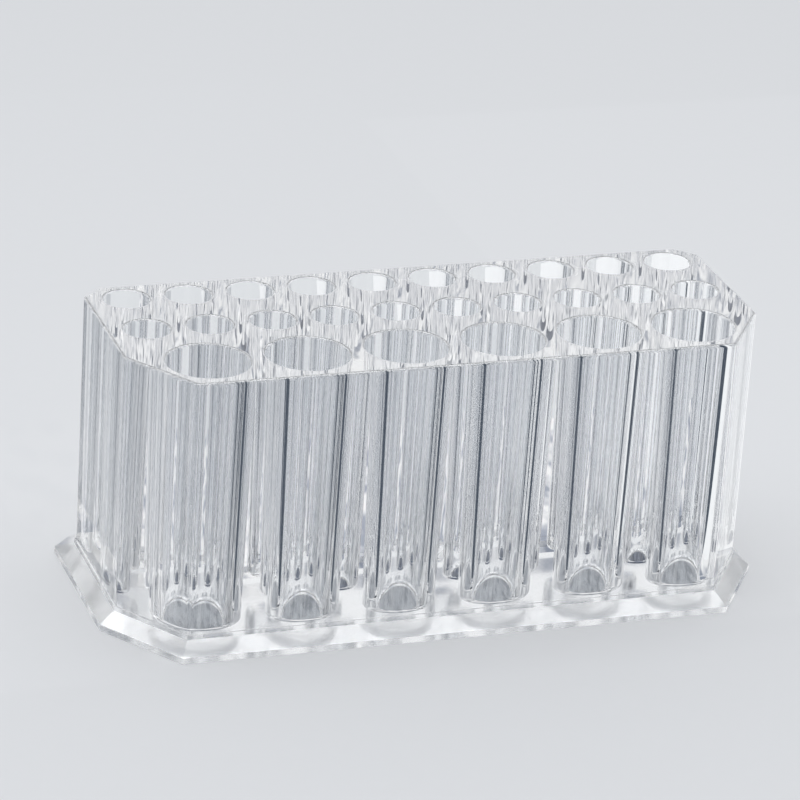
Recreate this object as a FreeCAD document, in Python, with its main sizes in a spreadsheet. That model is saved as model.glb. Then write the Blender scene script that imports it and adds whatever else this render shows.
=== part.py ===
import FreeCAD, Part
import os
import Sketcher

# Clear desktop organizer with three rows of round slots.
# A bevelled base plate carries four bonded bars, and the bars hold closed-bottom tubes between them.
# Frame: X along the rows, Y from the front to the back, Z up, origin under the middle of the base.

# Driving sizes in millimetres; bore_draft is in degrees
SIZES = {
    # tubes
    "large_bore": 25.2,
    "small_bore": 14.0,
    "bore_draft": 0.85,
    "tube_wall": 1.6,
    "tube_floor": 3.6,
    "rim_round": 0.8,
    "floor_round": 2.0,
    # clear plastic left round the tubes
    "large_web": 2.2,
    "small_web": 2.3,
    "large_end_wall": 9.3,
    "small_end_wall": 3.65,
    "front_wall": 2.4,
    "front_web": 3.8,
    "rear_web": 6.5,
    "back_wall": 1.7,
    "front_corner_wall": 1.4,
    "back_corner_wall": 3.0,
    # outside of the body
    "total_height": 87.8,
    "corner_round": 1.6,
    "top_edge_round": 1.0,
    # base
    "base_overhang": 5.2,
    "base_lip": 2.0,
    "base_height": 6.9,
    "base_back_cut": 5.6,
    "collar_ledge": 0.5,
    "collar_height": 1.4,
    "socket_floor": 2.0,
    # fits
    "bond_gap": 0.05,
    "cut_overrun": 5.0,
}

# How far the front corner cut runs along the front, as a share of how deep it runs along the side
FRONT_CUT_SHARE = 0.69

TUBE_COUNT = {"front": 6, "middle": 10, "back": 10}
TUBE_SIZE = {"front": "large", "middle": "small", "back": "small"}

# body bar: row on its front side, row on its back side
BARS = {
    "front_wall": (None, "front_row"),
    "front_cradle": ("front_row", "middle_row"),
    "rear_cradle": ("middle_row", "back_row"),
    "back_wall": ("back_row", None),
}


def cut_set_out(cut, other_cut, reach):
    """Formula for a front corner cut on an outline that lies outside the body's by a reach."""
    return f"{cut} + {reach} - {reach} * (front_cut_face - {cut}) / {other_cut}"


# Sizes that follow from the driving ones; rows are measured from the front face of the body
LAYOUT = {
    "large_radius": "Sizes.large_bore / 2 + Sizes.tube_wall",
    "small_radius": "Sizes.small_bore / 2 + Sizes.tube_wall",
    "front_row": "Sizes.front_wall + large_radius",
    "middle_row": "front_row + large_radius + Sizes.front_web + small_radius",
    "back_row": "middle_row + 2 * small_radius + Sizes.rear_web",
    "body_depth": "back_row + small_radius + Sizes.back_wall",
    # the longer row gives the body its length, and both rows spread over it
    "large_row_length": f"{TUBE_COUNT['front']} * 2 * large_radius + 2 * Sizes.large_end_wall"
                        f" + ({TUBE_COUNT['front']} - 1) * Sizes.large_web",
    "small_row_length": f"{TUBE_COUNT['back']} * 2 * small_radius + 2 * Sizes.small_end_wall"
                        f" + ({TUBE_COUNT['back']} - 1) * Sizes.small_web",
    "body_length": "max(large_row_length; small_row_length)",
    "large_span": "body_length - 2 * large_radius - 2 * Sizes.large_end_wall",
    "small_span": "body_length - 2 * small_radius - 2 * Sizes.small_end_wall",
    "large_pitch": f"large_span / ({TUBE_COUNT['front']} - 1)",
    "small_pitch": f"small_span / ({TUBE_COUNT['back']} - 1)",
    "tube_height": "Sizes.total_height - Sizes.socket_floor",
    "draft_inset": "(tube_height - Sizes.tube_floor) * tan(Sizes.bore_draft * 1 deg)",
    # the front corner cut clears the last large tube by the front corner wall
    "front_cut_tilt": f"sqrt(1 + {FRONT_CUT_SHARE} ^ 2)",
    "front_cut_reach": "(large_radius + Sizes.front_corner_wall) * front_cut_tilt",
    "front_cut_along": f"(body_length - large_span) / 2 - front_cut_reach + {FRONT_CUT_SHARE} * front_row",
    "front_cut_deep": f"front_cut_along / {FRONT_CUT_SHARE}",
    "front_cut_face": "front_cut_deep * front_cut_tilt",
    # the back corner cut, at 45 degrees, clears the last small tube by the back corner wall
    "back_cut_reach": "(small_radius + Sizes.back_corner_wall) * sqrt(2)",
    "back_cut": "(body_length - small_span) / 2 + body_depth - back_row - back_cut_reach",
    # the base reaches out by the overhang all round, and the collar on top of it by its ledge
    "base_length": "body_length + 2 * Sizes.base_overhang",
    "base_depth": "body_depth + 2 * Sizes.base_overhang",
    "base_cut_along": cut_set_out("front_cut_along", "front_cut_deep", "Sizes.base_overhang"),
    "base_cut_deep": cut_set_out("front_cut_deep", "front_cut_along", "Sizes.base_overhang"),
    "collar_length": "body_length + 2 * Sizes.collar_ledge",
    "collar_depth": "body_depth + 2 * Sizes.collar_ledge",
    "collar_cut_along": cut_set_out("front_cut_along", "front_cut_deep", "Sizes.collar_ledge"),
    "collar_cut_deep": cut_set_out("front_cut_deep", "front_cut_along", "Sizes.collar_ledge"),
    "collar_back_cut": "back_cut + Sizes.collar_ledge * (2 - sqrt(2))",
}

# Corners of an eight-sided starting shape, front edge first; the constraints give it its sizes
OCTAGON_START = [(-1, 0), (1, 0), (2, 1), (2, 2), (1, 3), (-1, 3), (-2, 2), (-2, 1)]

# Corners of a starting section of a tube, from its axis outward and back; the constraints give it its sizes
TUBE_START = [(0, 0), (4, 0), (4, 9), (3, 9), (2, 1), (0, 1)]

os.makedirs("parts", exist_ok=True)
doc = FreeCAD.newDocument("organizer")


def add_sheet(name, cells):
    sheet = doc.addObject("Spreadsheet::Sheet", name)
    for row, (alias, content) in enumerate(cells.items(), start=1):
        sheet.set(f"A{row}", alias)
        sheet.set(f"B{row}", content)
        sheet.setAlias(f"B{row}", alias)
    doc.recompute()


def add_sheets():
    add_sheet("Sizes", {alias: str(size) for alias, size in SIZES.items()})
    add_sheet("Layout", {alias: f"={formula}" for alias, formula in LAYOUT.items()})


def cell(alias):
    return f"Sizes.{alias}" if alias in SIZES else f"Layout.{alias}"


def bind(item, **expressions):
    for name, expression in expressions.items():
        item.setExpression(name.replace("__", "."), expression)


def origin_plane(body, role):
    return next(plane for plane in body.Origin.OriginFeatures if plane.Role == role)


def add_sketch(body, name, lift="0", role="XY_Plane"):
    sketch = body.newObject("Sketcher::SketchObject", name)
    sketch.AttachmentSupport = [(origin_plane(body, role), "")]
    sketch.MapMode = "FlatFace"
    sketch.setExpression("AttachmentOffset.Base.z", lift)
    return sketch


def constrain(sketch, expression, kind, *where):
    index = sketch.addConstraint(Sketcher.Constraint(kind, *where, 1.0))
    sketch.setExpression(f"Constraints[{index}]", expression)


def add_polygon(sketch, corners):
    """Closed run of straight lines; corner n is the start of line n."""
    points = [FreeCAD.Vector(x, y, 0) for x, y in corners]
    sides = len(points)
    for side, point in enumerate(points):
        sketch.addGeometry(Part.LineSegment(point, points[(side + 1) % sides]))
    for side in range(sides):
        sketch.addConstraint(Sketcher.Constraint("Coincident", side, 2, (side + 1) % sides, 1))


def add_octagon(sketch, length, depth, front_along, front_deep, back_cut):
    """Eight-sided outline, symmetric about Y, with its front edge on the X axis."""
    add_polygon(sketch, OCTAGON_START)
    corners = len(OCTAGON_START)
    for step in range(corners // 2):
        left, right = -step % corners, step + 1
        sketch.addConstraint(Sketcher.Constraint("Symmetric", left, 1, right, 1, -2))
    sketch.addConstraint(Sketcher.Constraint("PointOnObject", 0, 1, -1))
    sketch.addConstraint(Sketcher.Constraint("Vertical", 2))
    constrain(sketch, cell(length), "DistanceX", 7, 1, 2, 1)
    constrain(sketch, f"{cell(length)} - 2 * {cell(front_along)}", "DistanceX", 0, 1, 1, 1)
    constrain(sketch, f"{cell(length)} - 2 * {cell(back_cut)}", "DistanceX", 5, 1, 4, 1)
    constrain(sketch, cell(front_deep), "DistanceY", 1, 1, 2, 1)
    constrain(sketch, cell(back_cut), "DistanceY", 3, 1, 4, 1)
    constrain(sketch, cell(depth), "DistanceY", 1, 1, 4, 1)


def add_tube_section(sketch, size):
    """Half section of a closed-bottom tube whose bore narrows towards its floor."""
    bore = f"{cell(size + '_bore')} / 2"
    add_polygon(sketch, TUBE_START)
    sketch.addConstraint(Sketcher.Constraint("Coincident", 0, 1, -1, 1))
    for level in (0, 2, 4):
        sketch.addConstraint(Sketcher.Constraint("Horizontal", level))
    for upright in (1, 5):
        sketch.addConstraint(Sketcher.Constraint("Vertical", upright))
    constrain(sketch, cell(size + "_radius"), "DistanceX", 0, 1, 1, 1)
    constrain(sketch, cell("tube_height"), "DistanceY", 1, 1, 2, 1)
    constrain(sketch, bore, "DistanceX", 0, 1, 3, 1)
    constrain(sketch, f"{bore} - {cell('draft_inset')}", "DistanceX", 5, 1, 4, 1)
    constrain(sketch, cell("tube_floor"), "DistanceY", 0, 1, 5, 1)


def add_body_outline(body, name, lift="0"):
    sketch = add_sketch(body, name, lift)
    add_octagon(sketch, "body_length", "body_depth", "front_cut_along", "front_cut_deep", "back_cut")
    return sketch


def add_base_outline(body, name, lift="0"):
    sketch = add_sketch(body, name, lift)
    add_octagon(sketch, "base_length", "base_depth", "base_cut_along", "base_cut_deep", "base_back_cut")
    return sketch


def add_collar_outline(body, name, lift="0"):
    sketch = add_sketch(body, name, lift)
    add_octagon(
        sketch, "collar_length", "collar_depth", "collar_cut_along", "collar_cut_deep", "collar_back_cut",
    )
    sketch.setExpression("AttachmentOffset.Base.y", f"{cell('base_overhang')} - {cell('collar_ledge')}")
    return sketch


def add_pad(body, name, sketch, length):
    pad = body.newObject("PartDesign::Pad", name)
    pad.Profile = sketch
    pad.setExpression("Length", length)
    doc.recompute()
    return pad


def round_edges(body, name, feature, wanted, radius):
    """Rounds the edges of a feature that the test picks."""
    edges = [f"Edge{i}" for i, edge in enumerate(feature.Shape.Edges, start=1) if wanted(edge)]
    fillet = body.newObject("PartDesign::Fillet", name)
    fillet.Base = (feature, edges)
    fillet.setExpression("Radius", radius)
    doc.recompute()
    return fillet


def make_body_blank():
    """The whole eight-sided body above the base, before it is divided into bars."""
    body = doc.addObject("PartDesign::Body", "body_blank")
    sketch = add_body_outline(body, "body_outline")
    pad = add_pad(body, "body_pad", sketch, f"{cell('total_height')} - {cell('base_height')}")
    top = pad.Shape.BoundBox.ZMax
    corners = round_edges(
        body, "body_corners", pad,
        lambda edge: edge.BoundBox.ZLength > top / 2, cell("corner_round"),
    )
    round_edges(
        body, "body_top_edge", corners,
        lambda edge: edge.BoundBox.ZMin > top / 2, cell("top_edge_round"),
    )
    bind(body, Placement__Base__y=f"-{cell('body_depth')} / 2", Placement__Base__z=cell("base_height"))
    return body


def make_base_blank():
    """Upright lip, a bevel that rises from it, and a narrow upright collar at the foot of the body."""
    body = doc.addObject("PartDesign::Body", "base_blank")
    bevel_top = f"{cell('base_height')} - {cell('collar_height')}"
    lip_sketch = add_base_outline(body, "lip_outline")
    add_pad(body, "lip", lip_sketch, cell("base_lip"))
    bevel_sketch = add_base_outline(body, "bevel_low", cell("base_lip"))
    bevel = body.newObject("PartDesign::AdditiveLoft", "bevel")
    bevel.Profile = bevel_sketch
    bevel.Sections = [add_collar_outline(body, "bevel_high", bevel_top)]
    bevel.Ruled = True
    doc.recompute()
    collar_sketch = add_collar_outline(body, "collar_outline", bevel_top)
    add_pad(body, "collar", collar_sketch, cell("collar_height"))
    bind(body, Placement__Base__y=f"-{cell('body_depth')} / 2 - {cell('base_overhang')}")
    return body


def tube_place(row, number):
    """Expressions for the X and Y of one tube's axis."""
    along = f"{cell(TUBE_SIZE[row] + '_pitch')} * ({number} - ({TUBE_COUNT[row]} + 1) / 2)"
    across = f"{cell(row + '_row')} - {cell('body_depth')} / 2"
    return along, across


def every_tube():
    for row, count in TUBE_COUNT.items():
        for number in range(1, count + 1):
            yield row, number


def make_tube_seats():
    """One cylinder for each tube, a bond film larger than it, from its socket to above the top."""
    seats = []
    for row, number in every_tube():
        seat = doc.addObject("Part::Cylinder", f"{row}_seat_{number:02d}")
        along, across = tube_place(row, number)
        bind(
            seat,
            Radius=f"{cell(TUBE_SIZE[row] + '_radius')} + {cell('bond_gap')}",
            Height=f"{cell('tube_height')} + {cell('cut_overrun')}",
            Placement__Base__x=along,
            Placement__Base__y=across,
            Placement__Base__z=cell("socket_floor"),
        )
        seats.append(seat)
    compound = doc.addObject("Part::Compound", "tube_seats")
    compound.Links = seats
    doc.recompute()
    return compound


def cut_seats(label, blank, seats):
    piece = doc.addObject("Part::Cut", label)
    piece.Base = blank
    piece.Tool = seats
    piece.Label = label
    doc.recompute()
    return piece


def make_bar(label, blank, seats):
    """The stretch of the body between two row planes, with half-round seats for the tubes."""
    front_row, back_row = BARS[label]
    half_gap = f"{cell('bond_gap')} / 2"
    low = f"{cell(front_row)} + {half_gap}" if front_row else f"-{cell('cut_overrun')}"
    high = f"{cell(back_row)} - {half_gap}" if back_row else f"{cell('body_depth')} + {cell('cut_overrun')}"
    slab = doc.addObject("Part::Box", f"{label}_slab")
    bind(
        slab,
        Length=f"{cell('body_length')} + 2 * {cell('cut_overrun')}",
        Width=f"({high}) - ({low})",
        Height=f"{cell('total_height')} + {cell('cut_overrun')}",
        Placement__Base__x=f"-{cell('body_length')} / 2 - {cell('cut_overrun')}",
        Placement__Base__y=f"{low} - {cell('body_depth')} / 2",
    )
    stretch = doc.addObject("Part::Common", f"{label}_stretch")
    stretch.Base = blank
    stretch.Tool = slab
    doc.recompute()
    return cut_seats(label, stretch, seats)


def make_tube(row, number):
    """Closed-bottom tube with a rounded rim and a rounded floor, standing in its socket."""
    label = f"{row}_tube_{number:02d}"
    body = doc.addObject("PartDesign::Body", label)
    body.Label = label
    section = add_sketch(body, f"{label}_section", role="XZ_Plane")
    add_tube_section(section, TUBE_SIZE[row])
    turned = body.newObject("PartDesign::Revolution", f"{label}_turned")
    turned.Profile = section
    turned.ReferenceAxis = (section, ["V_Axis"])
    doc.recompute()
    height = turned.Shape.BoundBox.ZMax
    inner_edge, floor_edge = (section.Geometry[side].StartPoint for side in (3, 4))

    def is_circle(edge, point):
        wide = edge.BoundBox.XLength / 2
        slack = height / 1000
        return abs(wide - point.x) < slack and abs(edge.BoundBox.ZMin - point.y) < slack

    rim = round_edges(
        body, f"{label}_rim", turned,
        lambda edge: edge.Closed and is_circle(edge, inner_edge), cell("rim_round"),
    )
    round_edges(
        body, f"{label}_floor", rim,
        lambda edge: edge.Closed and is_circle(edge, floor_edge), cell("floor_round"),
    )
    along, across = tube_place(row, number)
    bind(
        body,
        Placement__Base__x=along,
        Placement__Base__y=across,
        Placement__Base__z=cell("socket_floor"),
    )
    return body


def check_and_write(pieces):
    for item in doc.Objects:
        if "Invalid" in item.State or "Error" in item.State:
            raise RuntimeError(f"{item.Name}: {item.State}")
    for piece in pieces:
        shape = piece.Shape
        if shape.isNull() or not shape.isValid() or len(shape.Solids) != 1:
            raise RuntimeError(f"{piece.Label}: not one valid solid")
        shape.exportStep(f"parts/{piece.Label}.step")
        print(f"{piece.Label}: {shape.Volume:.0f} mm3")


add_sheets()
body_blank = make_body_blank()
base_blank = make_base_blank()
tube_seats = make_tube_seats()
pieces = [cut_seats("base_plate", base_blank, tube_seats)]
pieces += [make_bar(label, body_blank, tube_seats) for label in BARS]
pieces += [make_tube(row, number) for row, number in every_tube()]
doc.recompute()
check_and_write(pieces)
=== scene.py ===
import math
import bmesh
import bpy
from mathutils import Matrix, Vector
from mathutils.bvhtree import BVHTree


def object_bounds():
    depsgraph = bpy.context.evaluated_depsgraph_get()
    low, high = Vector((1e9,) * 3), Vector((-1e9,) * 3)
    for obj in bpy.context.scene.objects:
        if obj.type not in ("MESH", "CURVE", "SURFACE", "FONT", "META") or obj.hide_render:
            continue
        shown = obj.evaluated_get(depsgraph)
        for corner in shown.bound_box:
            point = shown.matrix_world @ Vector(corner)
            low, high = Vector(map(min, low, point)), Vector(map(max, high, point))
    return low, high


# Clear desktop organizer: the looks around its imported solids.
# Lengths are in metres and angles in degrees unless a name says otherwise.

MM = 0.001
BLACK = (0.0, 0.0, 0.0, 1.0)
WHITE = (1.0, 1.0, 1.0, 1.0)

# Camera, fitted to the outline and the slot mouths in the photograph
CAMERA_YAW = 19.70
CAMERA_PITCH = 23.44
CAMERA_ROLL = 3.65
CAMERA_FOCAL_PIXELS = 4321.8
CAMERA_RIGHT = 4.403 * MM
CAMERA_UP = -54.488 * MM
CAMERA_AHEAD = 1341.26 * MM
PHOTO_PIXELS = 800
SENSOR_WIDTH_MM = 36.0
CLIP_RANGE = (0.01, 50.0)

# Clear plastic
PLASTIC_COLOR = (0.985, 0.992, 1.0, 1.0)
PLASTIC_IOR = 1.59
CLEAR = (0.0, 0.02)
# Each finish: the height of its flow lines, about how many fit in a metre, and its range of roughness
FINISHES = {
    "tube_plastic_clear": (0.0003 * MM, 160.0, CLEAR),
    "wall_plastic_clear": (0.0002 * MM, 80.0, CLEAR),
    "base_plastic_clear": (0.04 * MM, 260.0, CLEAR),
    "underside_plastic_satin": (0.0002 * MM, 80.0, (0.12, 0.18)),
    "bevel_plastic_satin": (0.04 * MM, 260.0, (0.26, 0.34)),
}
FLOW_LINE_STRETCH = (1.0, 1.0, 0.0004)
FLOW_LINE_DETAIL = 2.0
SMUDGE_STRETCH = (1.0, 1.0, 0.6)
SMUDGE_SCALE = 60.0
SMUDGE_DETAIL = 3.0

# A face is bonded where another piece faces it this squarely within this reach
BOND_REACH = 0.12 * MM
BOND_FACING = -0.9
# The base's underside has normals with an upward part below this, and its bevel between these two
UNDERSIDE_FACING = -0.9
BEVEL_FACING = (0.2, 0.97)
# Material slots of every piece: its finish, the film, and then any extra finishes
FINISH_SLOT, FILM_SLOT, EXTRA_SLOT = 0, 1, 2

# Floor: its paper, and the share of one plain tone that the camera sees in it
EVEN = (1.0, 1.0, 1.0)
FLOOR_COLOR = (0.74, 0.755, 0.78, 1.0)
FLOOR_TONE = (0.76, 0.775, 0.80, 1.0)
FLOOR_PLAIN_SHARE = 0.6
FLOOR_ROUGHNESS = 0.6
FLOOR_SIZE = 6.0
FLOOR_DROP = 0.2 * MM
GRAIN_SCALE = 180.0
GRAIN_DETAIL = 4.0
GRAIN_DIMMING = 0.97

# Patches of painted light and shade are longer from front to back than from side to side
PATCH_STRETCH = (1.0, 0.3, 1.0)
PATCH_DETAIL = 2.0
PATCH_EDGE = (0.39, 0.54)
# Patches of painted light and shadow on the floor that the plastic shows, from dim to bright, and
# their share there
PAINTED_GLOW_SHARE = 0.85
PAINTED_GLOW_TONES = ((0.24, 0.27, 0.34, 1.0), WHITE)
PAINTED_GLOW_PATCH = 95.0
# Painted shadow: the floor under the closed ends of the front and middle rows gets less of the
# painted light, as dim discs:
# the two tones, and the width as a share of the tube's
SHADES = {
    "front_tube": (((0.22, 0.235, 0.26, 1.0), (0.40, 0.42, 0.45, 1.0)), 0.84),
    "middle_tube": (((0.03, 0.04, 0.07, 1.0), (0.10, 0.12, 0.17, 1.0)), 0.92),
}
SHADE_PATCH = 300.0
SHADE_LIFT = 0.15 * MM
SHADE_CORNERS = 48

# Cards just above the floor that the plastic shows, which glow with painted light instead of being
# lit: two corners, and the light seen in them, which is one tone, or a dim and a bright one in
# patches of painted light and shadow
CARDS = {
    "front_card": ((-0.40, -0.36), (0.40, -0.050), (0.06, 0.078, 0.105, 1.0)),
    "left_card": ((-0.42, -0.050), (-0.112, 0.40), (0.56, 0.58, 0.61, 1.0)),
    "right_card": ((0.112, -0.050), (0.42, 0.40), (0.97, 0.985, 1.0, 1.0)),
    "near_back_card": ((-0.112, 0.050), (0.112, 0.14), ((0.40, 0.43, 0.50, 1.0), WHITE)),
    "under_front_card": ((-0.095, -0.044), (0.095, -0.006), ((0.60, 0.62, 0.66, 1.0), WHITE)),
    "far_back_card": ((-0.112, 0.14), (0.112, 0.45), (0.78, 0.80, 0.82, 1.0)),
}
CARD_PATCH = 18.0
CARD_LIFT = 0.1 * MM

# World: brightness along one direction, from the side facing away to the side facing it
WORLD_BRIGHT_WAY = (0.0, 0.96, 0.28)
WORLD_STOPS = [
    (0.0, (0.03, 0.034, 0.04, 1.0)),
    (0.40, (0.09, 0.10, 0.12, 1.0)),
    (0.53, (0.45, 0.47, 0.50, 1.0)),
    (0.66, (0.74, 0.76, 0.78, 1.0)),
    (0.82, (0.90, 0.91, 0.92, 1.0)),
    (1.0, (0.95, 0.96, 0.97, 1.0)),
]

# Lamp, aimed straight down
SOFTBOX_PLACE = (-0.15, -0.1, 1.0)
SOFTBOX_SIZE = (1.2, 0.8)
SOFTBOX_WATTS = 5.2

# Light has to pass many walls of plastic before it leaves the block
LIGHT_BOUNCES = {
    "max_bounces": 40,
    "transmission_bounces": 40,
    "glossy_bounces": 24,
    "transparent_max_bounces": 64,
}

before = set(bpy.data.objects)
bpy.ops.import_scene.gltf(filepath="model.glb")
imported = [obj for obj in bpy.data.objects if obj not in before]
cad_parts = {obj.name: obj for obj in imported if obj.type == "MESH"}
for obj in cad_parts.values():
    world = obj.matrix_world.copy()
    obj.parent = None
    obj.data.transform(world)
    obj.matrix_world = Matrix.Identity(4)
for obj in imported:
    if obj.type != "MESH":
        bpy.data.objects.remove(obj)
cad_low, cad_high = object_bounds()


# Node helpers

# Where a Mix node of colours keeps its two inputs and its result
MIX_LOW, MIX_HIGH, MIX_RESULT = 6, 7, 2


def new_material(name):
    material = bpy.data.materials.new(name)
    material.use_nodes = True
    tree = material.node_tree
    shader = next(node for node in tree.nodes if node.type == "BSDF_PRINCIPLED")
    return material, tree, shader


def add_node(tree, kind, inputs=None, **settings):
    node = tree.nodes.new(kind)
    for name, value in settings.items():
        setattr(node, name, value)
    for name, value in (inputs or {}).items():
        node.inputs[name].default_value = value
    return node


def stretched_noise(tree, scale_xyz, noise_scale, detail):
    """Noise on object coordinates, with each axis scaled by itself."""
    place = add_node(tree, "ShaderNodeTexCoord")
    mapping = add_node(tree, "ShaderNodeMapping", {"Scale": scale_xyz})
    noise = add_node(tree, "ShaderNodeTexNoise", {"Scale": noise_scale, "Detail": detail})
    tree.links.new(place.outputs["Object"], mapping.inputs["Vector"])
    tree.links.new(mapping.outputs["Vector"], noise.inputs["Vector"])
    return noise


def remap(tree, source, low, high):
    node = add_node(tree, "ShaderNodeMapRange", {"To Min": low, "To Max": high})
    tree.links.new(source, node.inputs["Value"])
    return node.outputs["Result"]


# Materials

def clear_plastic(name, line_height, line_scale, roughness_range):
    """Clear plastic with faint upright flow lines and a slightly uneven gloss."""
    material, tree, shader = new_material(name)
    shader.inputs["Base Color"].default_value = PLASTIC_COLOR
    shader.inputs["IOR"].default_value = PLASTIC_IOR
    shader.inputs["Transmission Weight"].default_value = 1.0
    smudge = stretched_noise(tree, SMUDGE_STRETCH, SMUDGE_SCALE, SMUDGE_DETAIL)
    roughness = remap(tree, smudge.outputs["Fac"], *roughness_range)
    tree.links.new(roughness, shader.inputs["Roughness"])
    lines = stretched_noise(tree, FLOW_LINE_STRETCH, line_scale, FLOW_LINE_DETAIL)
    bump = add_node(tree, "ShaderNodeBump", {"Strength": 1.0, "Distance": line_height})
    tree.links.new(lines.outputs["Fac"], bump.inputs["Height"])
    tree.links.new(bump.outputs["Normal"], shader.inputs["Normal"])
    return material


def bond_film(name):
    """Cement between two pieces of the same plastic: light passes straight through."""
    material, _, shader = new_material(name)
    shader.inputs["Alpha"].default_value = 0.0
    return material


def blend(tree, factor, low, high):
    """Colour between two others; each may be a plain colour or a socket."""
    node = add_node(tree, "ShaderNodeMix", data_type="RGBA")
    tree.links.new(factor, node.inputs["Factor"])
    for socket, color in ((node.inputs[MIX_LOW], low), (node.inputs[MIX_HIGH], high)):
        if isinstance(color, tuple):
            socket.default_value = color
        else:
            tree.links.new(color, socket)
    return node.outputs[MIX_RESULT]


def painted_light_patches(tree, scale, tones):
    """Patches of a dim and a bright tone with soft edges: painted light and shade."""
    patches = stretched_noise(tree, PATCH_STRETCH, scale, PATCH_DETAIL)
    low, high = PATCH_EDGE
    spread = add_node(tree, "ShaderNodeMapRange", {"From Min": low, "From Max": high})
    tree.links.new(patches.outputs["Fac"], spread.inputs["Value"])
    return blend(tree, spread.outputs["Result"], *tones)


def painted_light_sheet(name, tone, patch):
    """Painted light: a sheet that takes no light and glows with one tone, or with a pair of tones in
    patches.
    """
    material, tree, shader = new_material(name)
    shader.inputs["Base Color"].default_value = BLACK
    shader.inputs["Specular IOR Level"].default_value = 0.0
    shader.inputs["Emission Strength"].default_value = 1.0
    if isinstance(tone[0], tuple):
        tree.links.new(painted_light_patches(tree, patch, tone), shader.inputs["Emission Color"])
    else:
        shader.inputs["Emission Color"].default_value = tone
    return material


def floor_material():
    """Pale paper to the camera, and mostly patches of painted light and shadow to rays through or off
    the plastic.
    """
    material, tree, shader = new_material("floor_paper_and_painted_glow")
    grain = stretched_noise(tree, EVEN, GRAIN_SCALE, GRAIN_DETAIL)
    dim = tuple(GRAIN_DIMMING * part for part in FLOOR_COLOR[:3]) + (1.0,)
    paper = blend(tree, grain.outputs["Fac"], FLOOR_COLOR, dim)
    tree.links.new(paper, shader.inputs["Base Color"])
    shader.inputs["Roughness"].default_value = FLOOR_ROUGHNESS
    # Painted light and shadow on the floor, which only rays through or off the plastic see
    glow = painted_light_patches(tree, PAINTED_GLOW_PATCH, PAINTED_GLOW_TONES)
    path = add_node(tree, "ShaderNodeLightPath")
    through = add_node(tree, "ShaderNodeMath", operation="MAXIMUM")
    tree.links.new(path.outputs["Is Transmission Ray"], through.inputs[0])
    tree.links.new(path.outputs["Is Glossy Ray"], through.inputs[1])
    plain = add_node(tree, "ShaderNodeEmission")
    tree.links.new(blend(tree, through.outputs[0], FLOOR_TONE, glow), plain.inputs["Color"])
    direct = add_node(tree, "ShaderNodeMath", operation="MULTIPLY")
    direct.inputs[1].default_value = FLOOR_PLAIN_SHARE
    tree.links.new(path.outputs["Is Camera Ray"], direct.inputs[0])
    share = add_node(tree, "ShaderNodeMath", operation="MULTIPLY_ADD")
    share.inputs[1].default_value = PAINTED_GLOW_SHARE
    tree.links.new(through.outputs[0], share.inputs[0])
    tree.links.new(direct.outputs[0], share.inputs[2])
    mix = add_node(tree, "ShaderNodeMixShader")
    tree.links.new(share.outputs[0], mix.inputs["Fac"])
    tree.links.new(shader.outputs["BSDF"], mix.inputs[1])
    tree.links.new(plain.outputs["Emission"], mix.inputs[2])
    out = next(node for node in tree.nodes if node.type == "OUTPUT_MATERIAL")
    tree.links.new(mix.outputs["Shader"], out.inputs["Surface"])
    return material


# Which faces of a piece lie against another piece

def piece_trees(nodes):
    trees = {}
    for name, item in nodes.items():
        mesh = item.data
        trees[name] = BVHTree.FromPolygons(
            [vertex.co for vertex in mesh.vertices],
            [tuple(face.vertices) for face in mesh.polygons],
        )
    return trees


def is_bonded(face, name, trees):
    for other, tree in trees.items():
        if other == name:
            continue
        _, normal, _, _ = tree.find_nearest(face.center, BOND_REACH)
        if normal is not None and normal.dot(face.normal) < BOND_FACING:
            return True
    return False


def finish_slots(name):
    """Finishes of one piece after its first one and the film: name and range of upward facing."""
    if name != "base_plate":
        return []
    return [
        ("underside_plastic_satin", -math.inf, UNDERSIDE_FACING),
        ("bevel_plastic_satin", *BEVEL_FACING),
    ]


def dress(nodes):
    """Film on the faces against another piece, and the piece's own finish on the others."""
    plastics = {name: clear_plastic(name, *finish) for name, finish in FINISHES.items()}
    film = bond_film("bond_film")
    trees = piece_trees(nodes)
    for name, item in nodes.items():
        plastic = "wall_plastic_clear"
        if "_tube_" in name:
            plastic = "tube_plastic_clear"
        elif name == "base_plate":
            plastic = "base_plastic_clear"
        extra = finish_slots(name)
        materials = item.data.materials
        materials.clear()
        for material in (plastics[plastic], film, *(plastics[row[0]] for row in extra)):
            materials.append(material)
        for face in item.data.polygons:
            face.material_index = FINISH_SLOT
            if is_bonded(face, name, trees):
                face.material_index = FILM_SLOT
                continue
            for slot, (_, low, high) in enumerate(extra, start=EXTRA_SLOT):
                if low < face.normal.z < high:
                    face.material_index = slot


# Stage, light and camera

def add_floor():
    bpy.ops.mesh.primitive_plane_add(size=FLOOR_SIZE, location=(0, 0, cad_low.z - FLOOR_DROP))
    floor = bpy.context.object
    floor.name = "floor"
    floor.data.materials.append(floor_material())


def show_in_plastic(item):
    """Hides it from the camera; the plastic shows it, and faintly the floor's sheen does."""
    item.visible_camera = False
    item.visible_diffuse = False
    item.visible_shadow = False


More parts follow.
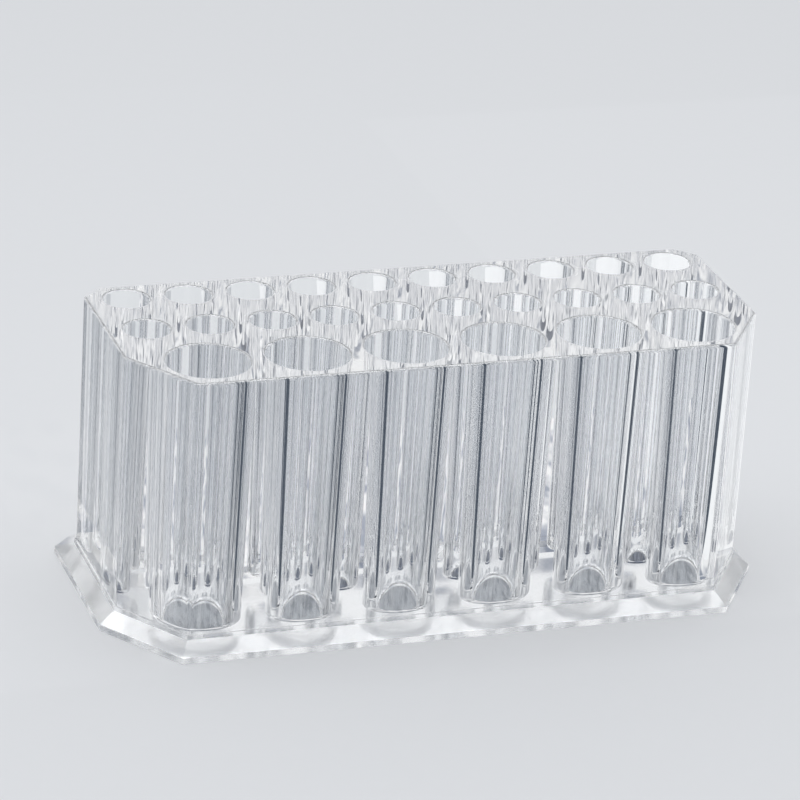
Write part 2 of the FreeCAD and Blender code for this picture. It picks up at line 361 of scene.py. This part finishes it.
def add_tube_shades(nodes):
    """Painted shadow: dim discs on the floor under the closed end of each tube in the front and
    middle rows.
    """
    for row, (tones, width_share) in SHADES.items():
        shapes = bmesh.new()
        for name, item in nodes.items():
            if not name.startswith(row):
                continue
            corners = [item.matrix_world @ Vector(corner) for corner in item.bound_box]
            middle = sum(corners, Vector()) / len(corners)
            width = max(c.x for c in corners) - min(c.x for c in corners)
            middle.z = cad_low.z - FLOOR_DROP + SHADE_LIFT
            bmesh.ops.create_circle(
                shapes, cap_ends=True, segments=SHADE_CORNERS, radius=width_share * width / 2,
                matrix=Matrix.Translation(middle),
            )
        mesh = bpy.data.meshes.new(row + "_shades")
        shapes.to_mesh(mesh)
        shapes.free()
        # The discs glow with their dim tones: painted shadow
        mesh.materials.append(painted_light_sheet(row + "_shade", tones, SHADE_PATCH))
        shades = bpy.data.objects.new(row + "_shades", mesh)
        bpy.context.collection.objects.link(shades)
        show_in_plastic(shades)


def add_cards():
    """Photographers' black and white cards, glowing with painted light and shade instead of being
    lit, which give clear plastic its dark and bright lines.
    """
    for name, (low, high, tone) in CARDS.items():
        height = cad_low.z - FLOOR_DROP + CARD_LIFT
        middle = ((low[0] + high[0]) / 2, (low[1] + high[1]) / 2, height)
        bpy.ops.mesh.primitive_plane_add(size=1.0, location=middle)
        card = bpy.context.object
        card.name = name
        card.scale = (high[0] - low[0], high[1] - low[1], 1.0)
        # Each card glows with its tone as painted light; the two-tone cards hold patches of painted
        # light and shadow
        card.data.materials.append(painted_light_sheet(name + "_paper", tone, CARD_PATCH))
        show_in_plastic(card)


def add_world():
    """Bright behind and above the object, darker on the camera's side."""
    world = bpy.data.worlds.new("studio")
    bpy.context.scene.world = world
    world.use_nodes = True
    tree = world.node_tree
    background = tree.nodes["Background"]
    place = add_node(tree, "ShaderNodeTexCoord")
    along = add_node(tree, "ShaderNodeVectorMath", operation="DOT_PRODUCT")
    along.inputs[1].default_value = WORLD_BRIGHT_WAY
    span = add_node(tree, "ShaderNodeMapRange", {"From Min": -1.0, "From Max": 1.0})
    ramp = add_node(tree, "ShaderNodeValToRGB")
    stops = ramp.color_ramp.elements
    stops[0].position, stops[0].color = WORLD_STOPS[0]
    stops[1].position, stops[1].color = WORLD_STOPS[-1]
    for position, color in WORLD_STOPS[1:-1]:
        stops.new(position).color = color
    tree.links.new(place.outputs["Generated"], along.inputs[0])
    tree.links.new(along.outputs["Value"], span.inputs["Value"])
    tree.links.new(span.outputs["Result"], ramp.inputs["Fac"])
    tree.links.new(ramp.outputs["Color"], background.inputs["Color"])
    background.inputs["Strength"].default_value = 1.0


def add_softbox(name):
    lamp = bpy.data.lights.new(name, "AREA")
    lamp.shape = "RECTANGLE"
    lamp.size, lamp.size_y = SOFTBOX_SIZE
    lamp.energy = SOFTBOX_WATTS
    item = bpy.data.objects.new(name, lamp)
    bpy.context.collection.objects.link(item)
    item.location = SOFTBOX_PLACE


def add_camera():
    yaw, pitch, roll = (math.radians(a) for a in (CAMERA_YAW, CAMERA_PITCH, CAMERA_ROLL))
    ahead = Vector((
        math.sin(yaw) * math.cos(pitch),
        math.cos(yaw) * math.cos(pitch),
        -math.sin(pitch),
    ))
    level = Vector((math.cos(yaw), -math.sin(yaw), 0.0))
    upright = level.cross(ahead)
    right = math.cos(roll) * level + math.sin(roll) * upright
    up = -math.sin(roll) * level + math.cos(roll) * upright
    place = -(CAMERA_RIGHT * right + CAMERA_UP * up + CAMERA_AHEAD * ahead)
    data = bpy.data.cameras.new("photo_camera")
    data.sensor_width = SENSOR_WIDTH_MM
    data.lens = CAMERA_FOCAL_PIXELS * SENSOR_WIDTH_MM / PHOTO_PIXELS
    data.clip_start, data.clip_end = CLIP_RANGE
    camera = bpy.data.objects.new("photo_camera", data)
    bpy.context.collection.objects.link(camera)
    turn = Matrix((right, up, -ahead)).transposed()
    camera.matrix_world = Matrix.Translation(place) @ turn.to_4x4()
    bpy.context.scene.camera = camera


def set_light_paths():
    cycles = bpy.context.scene.cycles
    for name, count in LIGHT_BOUNCES.items():
        setattr(cycles, name, count)
    cycles.caustics_reflective = True
    cycles.caustics_refractive = True


bpy.context.scene.view_settings.view_transform = "Standard"
dress(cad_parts)
add_floor()
add_cards()
add_tube_shades(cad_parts)
add_world()
add_softbox("overhead")
add_camera()
set_light_paths()
